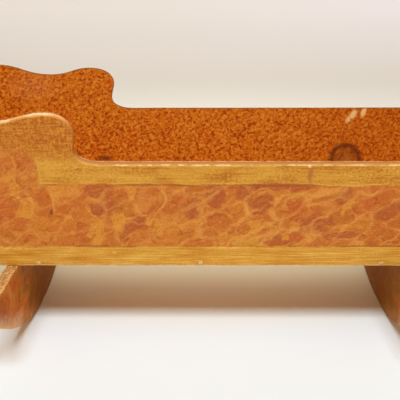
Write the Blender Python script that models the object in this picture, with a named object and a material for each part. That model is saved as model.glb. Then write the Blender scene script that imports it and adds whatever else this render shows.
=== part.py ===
# Doll cradle: a splayed box of five thin pine boards, nailed together and nailed down onto two
# curved cross rockers. It is the kind of cradle that was made at home and grain painted.
# Metres, +Z up. X runs from the head end (-X) to the foot end (+X), Y runs across the cradle,
# and the rockers touch the floor at Z = 0.

import math

import bmesh
import bpy
from mathutils import Vector
from mathutils.geometry import interpolate_bezier


# Driving dimensions of the box
overall_length = 0.632
board_thickness = 0.0085
floor_width = 0.195
stand_height = 0.085
rim_slant = 0.125
side_splay = math.radians(18.0)
end_splay = math.radians(10.0)
side_lap = 0.004
edge_round = 0.0009

# Scroll of each side board. The setback is measured from the head end of the cradle to the place
# where the straight rim ends, so a longer cradle gets a longer straight rim.
scroll_setback = 0.212
scroll_run = 0.165
scroll_rise = 0.056
head_corner_drop = 0.007

# Tops of the two end boards, above the side boards that they meet
head_arch_rise = 0.030
foot_arch_rise = 0.011

# Rockers. The inset is measured from each end of the cradle to the rocker's near face.
rocker_inset = 0.116
rocker_thickness = 0.0125
rocker_radius = 0.300
rocker_flat = 0.026
rocker_nose = 0.009

# Cut nails
nail_length = 0.027
nail_wide = 0.0026
nail_narrow = 0.0019
nail_tip_share = 0.5
head_wide = 0.0046
head_narrow = 0.0036
head_thick = 0.0009
head_set = 0.0002

# Fits
clearance = 0.0003
cut_overrun = 0.002

# Nail places, as shares of what they are spread along
head_nail_height_shares = (0.12, 0.37, 0.62, 0.86)
foot_nail_height_shares = (0.14, 0.50, 0.84)
floor_nail_run_shares = (-0.89, -0.05, 0.88)
end_nail_width_shares = (-0.5, 0.5)
rocker_nail_width_shares = (-0.62, 0.0, 0.62)

# Scroll knots as shares of its run and its rise: along, up, and the two handles as offsets.
# The two boards were sawn by eye, so their scrolls differ a little.
back_scroll_shares = (
    ((0.000, 0.000), (0.000, 0.000), (0.030, 0.000)),
    ((0.140, 0.245), (0.000, -0.180), (0.000, 0.140)),
    ((0.118, 0.590), (0.000, -0.090), (0.000, 0.170)),
    ((0.305, 0.925), (-0.130, 0.000), (0.150, 0.000)),
    ((0.620, 0.770), (-0.180, 0.000), (0.170, 0.000)),
    ((1.010, 1.000), (-0.125, 0.000), (0.090, 0.000)),
)
front_scroll_shares = (
    ((0.000, 0.000), (0.000, 0.000), (0.060, 0.000)),
    ((0.145, 0.245), (0.000, -0.170), (0.000, 0.100)),
    ((0.125, 0.570), (0.000, -0.140), (0.000, 0.175)),
    ((0.270, 0.955), (-0.100, 0.000), (0.130, 0.000)),
    ((0.600, 0.780), (-0.145, 0.000), (0.120, 0.000)),
    ((1.000, 1.000), (-0.120, 0.000), (0.090, 0.000)),
)
corner_handle_share = 0.45

# How finely the curves are cut
scroll_steps = 7
arch_steps = 14
rocker_steps = 26
nose_steps = 7
edge_segments = 2
edge_angle = math.radians(40.0)

# Paint and wood: base colour, roughness, metallic
paint_ochre = ((0.55, 0.25, 0.05, 1.0), 0.45, 0.0)
paint_rust = ((0.42, 0.13, 0.02, 1.0), 0.50, 0.0)
wood_bare = ((0.50, 0.31, 0.14, 1.0), 0.70, 0.0)
paint_brown = ((0.33, 0.11, 0.03, 1.0), 0.42, 0.0)
iron_dark = ((0.10, 0.08, 0.07, 1.0), 0.60, 0.9)


def clear_scene():
    for item in list(bpy.data.objects):
        bpy.data.objects.remove(item, do_unlink=True)


def make_material(name, finish):
    colour, roughness, metallic = finish
    material = bpy.data.materials.new(name)
    material.use_nodes = True
    shader = material.node_tree.nodes["Principled BSDF"]
    shader.inputs["Base Color"].default_value = colour
    shader.inputs["Roughness"].default_value = roughness
    shader.inputs["Metallic"].default_value = metallic
    material.diffuse_color = colour
    return material


def loft(name, sections, material):
    """A closed solid through sections of equal point count, capped at both ends."""
    mesh = bpy.data.meshes.new(name)
    build = bmesh.new()
    rings = [[build.verts.new(point) for point in section] for section in sections]
    count = len(rings[0])
    for lower, upper in zip(rings, rings[1:]):
        for index in range(count):
            after = (index + 1) % count
            build.faces.new((lower[index], lower[after], upper[after], upper[index]))
    build.faces.new(list(reversed(rings[0])))
    build.faces.new(rings[-1])
    bmesh.ops.recalc_face_normals(build, faces=build.faces)
    build.to_mesh(mesh)
    build.free()
    item = bpy.data.objects.new(name, mesh)
    if material is not None:
        item.data.materials.append(material)
    bpy.context.scene.collection.objects.link(item)
    return item


def round_edges(item):
    rounding = item.modifiers.new("worn_edges", "BEVEL")
    rounding.width = edge_round
    rounding.segments = edge_segments
    rounding.limit_method = "ANGLE"
    rounding.angle_limit = edge_angle
    rounding.harden_normals = False


def cut(item, cutter):
    cutter.hide_render = True
    cutter.display_type = "WIRE"
    boolean = item.modifiers.new("nail_holes", "BOOLEAN")
    boolean.operation = "DIFFERENCE"
    boolean.solver = "EXACT"
    boolean.object = cutter


# Heights below are measured up from the underside of the box, unless they are world places

def side_outer(height):
    """Half width of the box over the side boards' outer faces."""
    return floor_width / 2 + height * math.tan(side_splay)


def side_inner(height):
    """Half width of the box between the side boards' inner faces."""
    return side_outer(height) - board_thickness / math.cos(side_splay)


rocker_gap = overall_length - 2 * rocker_inset
scroll_start = overall_length / 2 - scroll_setback
rim_height = rim_slant * math.cos(side_splay)
shoulder_height = (rim_slant + scroll_rise - head_corner_drop) * math.cos(side_splay)
head_top = shoulder_height + head_arch_rise
foot_top = rim_height + foot_arch_rise
end_lean = math.tan(end_splay)
end_depth = board_thickness / math.cos(end_splay)

# Outer faces of the end boards at the underside of the box, set so that X = 0 is the middle
head_base = -overall_length / 2 + max(head_top * end_lean, shoulder_height * end_lean + side_lap)
foot_base = overall_length / 2 - max(foot_top * end_lean, rim_height * end_lean + side_lap)


def end_outer(sign, height):
    """World X of an end board's outer face: sign is -1 at the head and +1 at the foot."""
    base = head_base if sign < 0 else foot_base
    return base + sign * height * end_lean


def end_inner(sign, height):
    return end_outer(sign, height) - sign * end_depth


def end_middle(sign, height):
    return end_outer(sign, height) - sign * end_depth / 2


def curve_points(start, start_handle, end_handle, end, steps):
    """Points of one cubic stretch, without its first point."""
    found = interpolate_bezier(start, start_handle, end_handle, end, steps + 1)
    return [Vector(point) for point in found[1:]]


# Side boards

def side_end_x(sign, slant):
    """End of a side board, a lap beyond the end board, at a distance up its slope."""
    return end_outer(sign, slant * math.cos(side_splay)) + sign * side_lap


def scroll_points(scroll_shares):
    """The sawn top line from the end of the straight rim to the head corner: x and slant."""
    knots = []
    for place, arrive, leave in scroll_shares:
        knot = Vector((-scroll_start - place[0] * scroll_run, rim_slant + place[1] * scroll_rise))
        before = knot + Vector((-arrive[0] * scroll_run, arrive[1] * scroll_rise))
        after = knot + Vector((-leave[0] * scroll_run, leave[1] * scroll_rise))
        knots.append((knot, before, after))
    points = [knots[0][0]]
    for this, following in zip(knots, knots[1:]):
        points += curve_points(this[0], this[2], following[1], following[0], scroll_steps)
    hump, hump_leave = knots[-1][0], knots[-1][2]
    corner_slant = rim_slant + scroll_rise - head_corner_drop
    corner = Vector((side_end_x(-1, corner_slant), corner_slant))
    corner_arrive = corner.lerp(hump, corner_handle_share) + Vector((0.0, head_corner_drop / 2))
    points += curve_points(hump, hump_leave, corner_arrive, corner, scroll_steps)
    return points


def side_outline(scroll_shares):
    """Outline in the board's own plane: x along the cradle, slant up the outer face."""
    points = [Vector((side_end_x(1, 0.0), 0.0))]
    points.append(Vector((side_end_x(1, rim_slant), rim_slant)))
    points += scroll_points(scroll_shares)
    points.append(Vector((side_end_x(-1, 0.0), 0.0)))
    return points


def side_board(name, facing, scroll_shares, material):
    """facing is -1 for the front board and +1 for the back board."""
    up_slope = Vector((0.0, facing * math.sin(side_splay), math.cos(side_splay)))
    inward = Vector((0.0, -facing * math.cos(side_splay), math.sin(side_splay)))
    foot = Vector((0.0, facing * floor_width / 2, stand_height))
    bottom_bevel = board_thickness * math.tan(side_splay)
    outer = []
    inner = []
    for point in side_outline(scroll_shares):
        outer.append(foot + Vector((point[0], 0.0, 0.0)) + up_slope * point[1])
        slant = point[1] if point[1] > 0.0 else -bottom_bevel
        inner.append(foot + Vector((point[0], 0.0, 0.0)) + up_slope * slant + inward * board_thickness)
    item = loft(name, (outer, inner), material)
    round_edges(item)
    return item


# End boards, held between the side boards

def end_board(name, sign, shoulder, arch_rise, material):
    """A tapered board with bevelled edges and a low arched top. sign is -1 at the head."""
    normal = Vector((-sign * math.cos(end_splay), 0.0, math.sin(end_splay)))
    edge_gap = clearance / math.cos(side_splay)
    faces = []
    for depth in (0.0, board_thickness):
        rise = depth * normal.z
        top = shoulder + rise
        half_top = side_inner(top) - edge_gap
        half_foot = side_inner(0.0) - edge_gap
        loop = [(-half_foot, 0.0), (half_foot, 0.0)]
        for step in range(arch_steps + 1):
            share = 1.0 - 2.0 * step / arch_steps
            loop.append((share * half_top, top + arch_rise * math.cos(share * math.pi / 2) ** 2))
        middle = end_outer(sign, 0.0) + normal.x * depth / math.cos(end_splay) ** 2
        faces.append([Vector((middle + sign * z * end_lean, y, stand_height + z)) for y, z in loop])
    item = loft(name, faces, material)
    round_edges(item)
    return item


# Bottom board, between the four upright boards

def bottom_board(material):
    side_gap = clearance / math.cos(side_splay)
    end_gap = clearance / math.cos(end_splay)
    layers = []
    for height in (0.0, board_thickness):
        half = side_inner(height) - side_gap
        head_x = end_inner(-1, height) + end_gap
        foot_x = end_inner(1, height) - end_gap
        z = stand_height + height
        corners = ((head_x, -half, z), (foot_x, -half, z), (foot_x, half, z), (head_x, half, z))
        layers.append([Vector(corner) for corner in corners])
    item = loft("bottom_board", layers, material)
    round_edges(item)
    return item


# Rockers

def rocker_outline():
    """Outline across the cradle: y and height above the floor."""
    top = stand_height - clearance
    flat_half = rocker_flat / 2
    centre_z = math.sqrt(rocker_radius ** 2 - flat_half ** 2)
    nose_z = top - rocker_nose
    nose_y = math.sqrt((rocker_radius - rocker_nose) ** 2 - (centre_z - nose_z) ** 2)
    meet_angle = math.atan2(nose_y, centre_z - nose_z)
    flat_angle = math.asin(flat_half / rocker_radius)
    half = []
    for step in range(rocker_steps + 1):
        angle = flat_angle + (meet_angle - flat_angle) * step / rocker_steps
        half.append((rocker_radius * math.sin(angle), centre_z - rocker_radius * math.cos(angle)))
    half[0] = (flat_half, 0.0)
    for step in range(1, nose_steps + 1):
        angle = meet_angle + (math.pi - meet_angle) * step / nose_steps
        half.append((nose_y + rocker_nose * math.sin(angle), nose_z - rocker_nose * math.cos(angle)))
    mirrored = [(-y, z) for y, z in reversed(half)]
    return half + mirrored


def rocker(name, sign, material):
    """sign is -1 under the head end and +1 under the foot end."""
    near_x = sign * rocker_gap / 2
    far_x = sign * (rocker_gap / 2 + rocker_thickness)
    sections = [[Vector((x, y, z)) for y, z in rocker_outline()] for x in (near_x, far_x)]
    item = loft(name, sections, material)
    round_edges(item)
    return item


# Cut nails: each has a flat head hammered flush with its board and a tapered four-sided shank

def nail_sections(point, drive, surface, across, room):
    """Four-cornered sections along a nail. room is the clearance that a hole adds, or zero."""
    third = drive.cross(across)
    top_depth = -cut_overrun if room > 0.0 else head_set
    seat_depth = head_set + head_thick + room
    head = (head_wide / 2 + room, head_narrow / 2 + room)
    shank = (nail_wide / 2 + room, nail_narrow / 2 + room)
    tip = (nail_wide * nail_tip_share / 2 + room, nail_narrow * nail_tip_share / 2 + room)
    signs = ((-1, -1), (1, -1), (1, 1), (-1, 1))
    sections = []
    for half, depth in ((head, top_depth), (head, seat_depth), (shank, seat_depth)):
        ring = []
        for a, b in signs:
            side_step = across * (a * half[0]) + third * (b * half[1])
            along = (-depth - side_step.dot(surface)) / drive.dot(surface)
            ring.append(point + side_step + drive * along)
        sections.append(ring)
    end = point + drive * (nail_length + room)
    sections.append([end + across * (a * tip[0]) + third * (b * tip[1]) for a, b in signs])
    return sections


class NailMaker:
    """Makes the nails and gathers the holes that each board needs."""

    def __init__(self, material):
        self.material = material
        self.holes = {}

    def drive(self, name, point, direction, surface, across, boards):
        loft(name, nail_sections(point, direction, surface, across, 0.0), self.material)
        for board in boards:
            self.holes.setdefault(board.name, (board, []))[1].append((point, direction, surface, across))

    def cut_holes(self):
        for board, places in self.holes.values():
            cutter = None
            for place in places:
                hole = loft("cut_" + board.name, nail_sections(*place, clearance), None)
                if cutter is None:
                    cutter = hole
                else:
                    merge_into(cutter, hole)
            cut(board, cutter)


def merge_into(target, extra):
    """Adds one cutter's mesh to another, as a separate shell."""
    build = bmesh.new()
    build.from_mesh(target.data)
    build.from_mesh(extra.data)
    build.to_mesh(target.data)
    build.free()
    bpy.data.objects.remove(extra, do_unlink=True)


def nail_side_boards(maker, boards):
    along = Vector((1.0, 0.0, 0.0))
    for facing, side_word in ((-1, "front"), (1, "back")):
        board = boards["side_" + side_word]
        inward = Vector((0.0, -facing, 0.0))
        surface = Vector((0.0, facing * math.cos(side_splay), -math.sin(side_splay)))
        for sign, end_word, shoulder, shares in (
            (-1, "head", shoulder_height, head_nail_height_shares),
            (1, "foot", rim_height, foot_nail_height_shares),
        ):
            for number, share in enumerate(shares, start=1):
                height = shoulder * share
                point = Vector((end_middle(sign, height), facing * side_outer(height), stand_height + height))
                name = "nail_" + side_word + "_" + end_word + "_" + str(number)
                maker.drive(name, point, inward, surface, along, (board, boards[end_word]))
        height = board_thickness / 2
        for number, share in enumerate(floor_nail_run_shares, start=1):
            point = Vector((share * rocker_gap / 2, facing * side_outer(height), stand_height + height))
            name = "nail_" + side_word + "_floor_" + str(number)
            maker.drive(name, point, inward, surface, along, (board, boards["bottom"]))


def nail_end_boards(maker, boards):
    height = board_thickness / 2
    across = Vector((0.0, 1.0, 0.0))
    for sign, end_word in ((-1, "head"), (1, "foot")):
        inward = Vector((-sign, 0.0, 0.0))
        surface = Vector((sign * math.cos(end_splay), 0.0, -math.sin(end_splay)))
        for number, share in enumerate(end_nail_width_shares, start=1):
            point = Vector((end_outer(sign, height), share * side_inner(0.0), stand_height + height))
            name = "nail_" + end_word + "_floor_" + str(number)
            maker.drive(name, point, inward, surface, across, (boards[end_word], boards["bottom"]))


def nail_rockers(maker, boards):
    down = Vector((0.0, 0.0, -1.0))
    along = Vector((1.0, 0.0, 0.0))
    for sign, end_word in ((-1, "head"), (1, "foot")):
        x = sign * (rocker_gap + rocker_thickness) / 2
        for number, share in enumerate(rocker_nail_width_shares, start=1):
            point = Vector((x, share * side_inner(0.0), stand_height + board_thickness))
            name = "nail_rocker_" + end_word + "_" + str(number)
            maker.drive(name, point, down, -down, along, (boards["bottom"], boards["rocker_" + end_word]))


def finish_shading():
    for item in bpy.data.objects:
        if item.type == "MESH" and not item.hide_render:
            item.data.shade_smooth()
            item.data.set_sharp_from_angle(angle=edge_angle)


def build_cradle():
    clear_scene()
    ochre = make_material("paint_ochre", paint_ochre)
    rust = make_material("paint_rust", paint_rust)
    bare = make_material("wood_bare", wood_bare)
    brown = make_material("paint_brown", paint_brown)
    iron = make_material("iron_dark", iron_dark)
    boards = {
        "side_front": side_board("side_board_front", -1, front_scroll_shares, ochre),
        "side_back": side_board("side_board_back", 1, back_scroll_shares, ochre),
        "head": end_board("head_board", -1, shoulder_height, head_arch_rise, rust),
        "foot": end_board("foot_board", 1, rim_height, foot_arch_rise, rust),
        "bottom": bottom_board(bare),
        "rocker_head": rocker("rocker_head", -1, brown),
        "rocker_foot": rocker("rocker_foot", 1, brown),
    }
    maker = NailMaker(iron)
    nail_side_boards(maker, boards)
    nail_end_boards(maker, boards)
    nail_rockers(maker, boards)
    maker.cut_holes()
    finish_shading()


build_cradle()
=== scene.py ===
import math
import random

import bmesh
import bpy
import numpy as np
from mathutils import Matrix, Vector, noise
from mathutils.geometry import delaunay_2d_cdt


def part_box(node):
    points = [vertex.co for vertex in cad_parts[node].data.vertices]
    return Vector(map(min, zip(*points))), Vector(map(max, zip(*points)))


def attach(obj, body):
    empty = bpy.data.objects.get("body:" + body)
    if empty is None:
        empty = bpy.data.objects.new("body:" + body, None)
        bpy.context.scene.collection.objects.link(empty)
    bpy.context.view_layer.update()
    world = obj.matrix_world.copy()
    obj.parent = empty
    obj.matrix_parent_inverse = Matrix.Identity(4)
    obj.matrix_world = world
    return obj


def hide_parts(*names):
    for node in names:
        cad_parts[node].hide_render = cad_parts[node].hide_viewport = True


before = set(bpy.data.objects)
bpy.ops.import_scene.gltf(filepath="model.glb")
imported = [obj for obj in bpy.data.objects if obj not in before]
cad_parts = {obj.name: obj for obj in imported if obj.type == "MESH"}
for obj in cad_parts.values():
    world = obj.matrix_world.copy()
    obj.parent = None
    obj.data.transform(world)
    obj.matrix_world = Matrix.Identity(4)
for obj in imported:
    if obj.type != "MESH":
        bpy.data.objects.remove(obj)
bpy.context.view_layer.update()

millimetre = 0.001
print("frame:", len(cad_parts), "nodes")


# How every board is cut and worn, in metres

boardCut = {
    "mergeWithin": 1e-6,       # welds the frame's loose triangles
    "cadRound": 0.0009,        # the frame's own edge rounding, taken off to find the sawn outline
    "cornerTurn": math.radians(40),
    "cornerLean": 0.03,
    "outlineStep": 0.0022,
    "smoothPasses": 6,
    "faceInsets": (0.0034, 0.0016, 0.0006),
    "edgeShares": (0.2, 0.4, 0.6, 0.8),
    "faceGrid": 0.0045,
    "gridJitter": 0.25,
    "gridRow": 0.87,           # rows of the grid, in pitches
    "gridRoom": 0.55,          # least room between grid and outline, in pitches
    "zeroStrip": 0.06,         # the stretch at the rim's far end that is searched for height zero
    "sharpFrom": math.radians(50),
    "sawWobble": 0.00022,
    "arris": 0.001,
    "arrisVary": 0.55,
    "chipDepth": 0.003,
    "chipFrom": 0.36,
    "faceDip": 0.00028,
    "edgeDip": 0.00014,
    "farGap": 12,              # edge gaps past this many millimetres are all alike
}
outerSlot, innerSlot, edgeSlot = 0, 1, 2


def lump(x, y, seed, size):
    # Smooth noise from 0 to 1 over a length in metres
    return min(1, max(0, 0.5 + 0.6 * noise.noise(Vector((x / size, y / size, seed)))))


def broadFace(build, outward):
    # The largest flat face that looks outward: its normal and its rim, as points in order
    groups = {}
    for face in build.faces:
        if face.normal.dot(outward) > 0.9:
            key = tuple(round(part, 2) for part in face.normal)
            groups.setdefault(key, set()).add(face)
    faces = max(groups.values(), key=lambda group: sum(face.calc_area() for face in group))
    normal = sum((face.normal * face.calc_area() for face in faces), Vector()).normalized()
    beside = {}
    for face in faces:
        for edge in face.edges:
            if sum(1 for other in edge.link_faces if other in faces) == 1:
                first, last = edge.verts
                beside.setdefault(first, []).append(last)
                beside.setdefault(last, []).append(first)
    rims = []
    left = set(beside)
    while left:
        walk = [min(left, key=lambda vert: vert.index)]
        left.discard(walk[0])
        while True:
            onward = [vert for vert in beside[walk[-1]] if vert in left]
            if not onward:
                break
            walk.append(onward[0])
            left.discard(onward[0])
        rims.append(walk)
    longest = max(rims, key=lambda walk: sum((a.co - b.co).length for a, b in zip(walk, walk[1:])))
    return normal, np.array([vert.co for vert in longest])


class BoardPlane:
    # A board's own directions: along it, up it, and depth measured inward from its outer face
    def __init__(self, along, normal, point):
        self.out = np.array(normal)
        self.along = np.array(along, float)
        self.up = np.cross(self.out, self.along)
        if self.up[2] + self.up[1] * 1e-3 < 0:
            self.up = -self.up
        self.point = point - self.along * (point @ self.along)

    def flat(self, points):
        gone = np.asarray(points) - self.point
        return np.stack([gone @ self.along, gone @ self.up, -(gone @ self.out)], axis=1)

    def space(self, flatPoints):
        a, u, d = np.asarray(flatPoints).T
        return self.point + np.outer(a, self.along) + np.outer(u, self.up) - np.outer(d, self.out)


def inwardOf(rim, corners=()):
    # Steps toward the inside of a closed counter-clockwise rim, mitred at each point.
    # Near a corner they lean along the rim too, so that inner rings keep their points in order.
    ahead = np.roll(rim, -1, axis=0) - rim
    length = np.linalg.norm(ahead, axis=1)
    ahead /= length[:, None]
    leftward = np.stack([-ahead[:, 1], ahead[:, 0]], axis=1)
    before = np.roll(leftward, 1, axis=0)
    steps = (before + leftward) / (1 + np.sum(before * leftward, axis=1))[:, None]
    count = len(rim)
    for corner in corners:
        for way, edge in ((1, ahead[corner]), (-1, ahead[corner - 1])):
            lean = steps[corner] @ edge
            gone = 0
            for reach in range(1, count):
                index = (corner + way * reach) % count
                gone += length[index - 1] if way > 0 else length[index]
                if gone > boardCut["cornerLean"]:
                    break
                steps[index] = steps[index] + ahead[index] * lean * (1 - gone / boardCut["cornerLean"])
    return steps


def startRim(rim):
    # Counter-clockwise, from the point that lies furthest along and lowest
    x, y = rim.T
    if np.sum(x * np.roll(y, -1) - np.roll(x, -1) * y) < 0:
        rim = rim[::-1]
    return np.roll(rim, -int(np.argmax(rim[:, 0] - rim[:, 1])), axis=0)


def rimStretches(rim):
    # The rim cut at its sharp corners; a rim with none stays one closed stretch
    ahead = np.roll(rim, -1, axis=0) - rim
    angle = np.arctan2(ahead[:, 1], ahead[:, 0])
    turn = np.abs((angle - np.roll(angle, 1) + np.pi) % (2 * np.pi) - np.pi)
    corners = [i for i in range(len(rim)) if turn[i] > boardCut["cornerTurn"]]
    if not corners:
        return [np.vstack([rim, rim[:1]])], False
    ends = corners[1:] + [corners[0] + len(rim)]
    return [rim[np.arange(a, b + 1) % len(rim)] for a, b in zip(corners, ends)], True


def evenly(stretch, count):
    steps = np.linalg.norm(np.diff(stretch, axis=0), axis=1)
    places = np.concatenate([[0], np.cumsum(steps)])
    wanted = np.linspace(0, places[-1], count + 1)
    return np.stack([np.interp(wanted, places, stretch[:, axis]) for axis in (0, 1)], axis=1)


def smoothed(points, cornered):
    # Takes the frame's facets out of sawn curves; corners stay
    for _ in range(boardCut["smoothPasses"]):
        if cornered:
            points[1:-1] = 0.5 * points[1:-1] + 0.25 * (points[:-2] + points[2:])
        else:
            points = 0.5 * points + 0.25 * (np.roll(points, 1, axis=0) + np.roll(points, -1, axis=0))
    return points


def pairedRims(rims):
    # The two faces' outlines resampled alike, so that point i of one faces point i of the other
    found = ([], [])
    corners = []
    stretchesA, cornered = rimStretches(rims[0])
    stretchesB, _ = rimStretches(rims[1])
    for pair in zip(stretchesA, stretchesB):
        length = np.sum(np.linalg.norm(np.diff(pair[0], axis=0), axis=1))
        count = max(3, round(length / boardCut["outlineStep"]))
        if cornered:
            corners.append(sum(len(points) for points in found[0]))
        for kept, stretch in zip(found, pair):
            points = evenly(stretch, count)
            kept.append(smoothed(points, True)[:-1] if cornered else smoothed(points[:-1], False))
    return [np.vstack(points) for points in found], corners


def insideRim(points, rim):
    x, y = points.T
    inside = np.zeros(len(points), bool)
    for (x0, y0), (x1, y1) in zip(rim, np.roll(rim, -1, axis=0)):
        crosses = (y0 > y) != (y1 > y)
        with np.errstate(divide="ignore", invalid="ignore"):
            inside ^= crosses & (x < (x1 - x0) * (y - y0) / (y1 - y0) + x0)
    return inside


def rimGap(points, rim):
    gap = np.full(len(points), 1e9)
    for x, y in rim:
        gap = np.minimum(gap, np.hypot(points[:, 0] - x, points[:, 1] - y))
    return gap


def faceFill(rim, pitch, seed):
    # Triangles over a face, on a jittered grid inside its innermost ring
    draw = random.Random(seed)
    low, high = rim.min(axis=0), rim.max(axis=0)
    grid = []
    rows = int((high[1] - low[1]) / (pitch * boardCut["gridRow"])) + 1
    for row in range(rows):
        y = low[1] + row * pitch * boardCut["gridRow"]
        x = low[0] + (row % 2) * pitch / 2
        while x < high[0]:
            sway = boardCut["gridJitter"] * pitch
            grid.append((x + draw.uniform(-sway, sway), y + draw.uniform(-sway, sway)))
            x += pitch
    grid = np.array(grid)
    grid = grid[insideRim(grid, rim)]
    grid = grid[rimGap(grid, rim) > pitch * boardCut["gridRoom"]]
    places = np.vstack([rim, grid]) / millimetre
    count = len(rim)
    edges = [(i, (i + 1) % count) for i in range(count)]
    points, _, faces, origins, _, _ = delaunay_2d_cdt([Vector(p) for p in places], edges, [], 1, 1e-5)
    if len(points) != len(places):
        raise ValueError("a board face has crossing outlines")
    order = [origin[0] for origin in origins]
    return grid, [tuple(order[i] for i in face) for face in faces]


def boardRims(node, outward, along, zeroAtCorner):
    # A frame board's plane and thickness, and the outlines of its two faces as they were sawn
    build = bmesh.new()
    build.from_mesh(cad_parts[node].data)
    bmesh.ops.remove_doubles(build, verts=build.verts, dist=boardCut["mergeWithin"])
    normal, outer = broadFace(build, Vector(outward))
    _, inner = broadFace(build, -Vector(outward))
    build.free()
    plane = BoardPlane(along, normal, outer[0])
    outer, inner = plane.flat(outer), plane.flat(inner)
    thick = float(inner[:, 2].mean() - outer[:, 2].mean())
    rims = []
    for flatRim in (outer, inner):
        rim = startRim(flatRim[:, :2])
        rims.append(rim - inwardOf(rim) * boardCut["cadRound"])
    if zeroAtCorner:
        # Height reads zero at the top of the corner that lies furthest along
        edge = rims[0][rims[0][:, 0] > rims[0][:, 0].max() - boardCut["zeroStrip"]]
        zero = edge[np.argmax(edge[:, 0] + edge[:, 1] * 2)][1]
    else:
        zero = -float(plane.point @ plane.up)
    plane.point = plane.point + plane.up * zero
    return plane, thick, *pairedRims([rim - (0, zero) for rim in rims])


def faceDip(points, face, seed, dents):
    # How deep the plane iron and the dents went, at points of one face
    found = np.array([lump(x, y, seed + face * 7.3, 0.06) * 0.7 + lump(x, y, seed + 3.1, 0.017) * 0.3
                      for x, y in points]) * boardCut["faceDip"]
    for x, y, reach, depth, side in dents:
        if side == face:
            away = np.hypot(points[:, 0] - x, points[:, 1] - y) / reach
            found += depth * np.exp(-away ** 2 * 2)
    return found


def arrisRadius(runs, face, seed, arris):
    # How far the arris is rubbed back along the outline, with a few chips
    spread = []
    for run in runs:
        soft = lump(run, 0, seed + 11.3 + face * 5, 0.035)
        nick = max(0, lump(run, 3, seed + 23.9 + face * 5, 0.006) - (1 - boardCut["chipFrom"]))
        spread.append(boardCut["arris"] * arris * (1 + boardCut["arrisVary"] * (soft * 2 - 1))
                      + nick * boardCut["chipDepth"])
    return np.array(spread)


def addLayer(mesh, name, kind, values, domain="POINT"):
    field = "vector" if kind == "FLOAT_VECTOR" else "value"
    number = np.int32 if kind == "INT" else np.float32
    mesh.attributes.new(name, kind, domain).data.foreach_set(field, np.array(values, number).ravel())


def boardLayers(mesh, gaps, rubs, slots):
    # What the paint asks of a board: gap to the arris in mm, how bare the edge lies, and the slot
    addLayer(mesh, "edgeGap", "FLOAT", gaps)
    addLayer(mesh, "rubbing", "FLOAT", rubs)
    addLayer(mesh, "paintSlot", "INT", slots, "FACE")


def readAll(items, field, width, number=float):
    values = np.zeros(len(items) * width, number)
    items.foreach_get(field, values)
    return values.reshape(-1, width)


def linked(name, data):
    made = bpy.data.objects.new(name, data)
    bpy.context.scene.collection.objects.link(made)
    return made


def turnOut(mesh):
    # Makes every face look outward
    build = bmesh.new()
    build.from_mesh(mesh)
    bmesh.ops.recalc_face_normals(build, faces=build.faces)
    build.to_mesh(mesh)
    build.free()


def bakeMesh(piece):
    # Gives the piece the mesh that its modifiers make
    bpy.context.view_layer.update()
    made = bpy.data.meshes.new_from_object(piece.evaluated_get(bpy.context.evaluated_depsgraph_get()))
    piece.modifiers.clear()
    before = piece.data
    piece.data = made
    bpy.data.meshes.remove(before)
    made.name = piece.name


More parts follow.
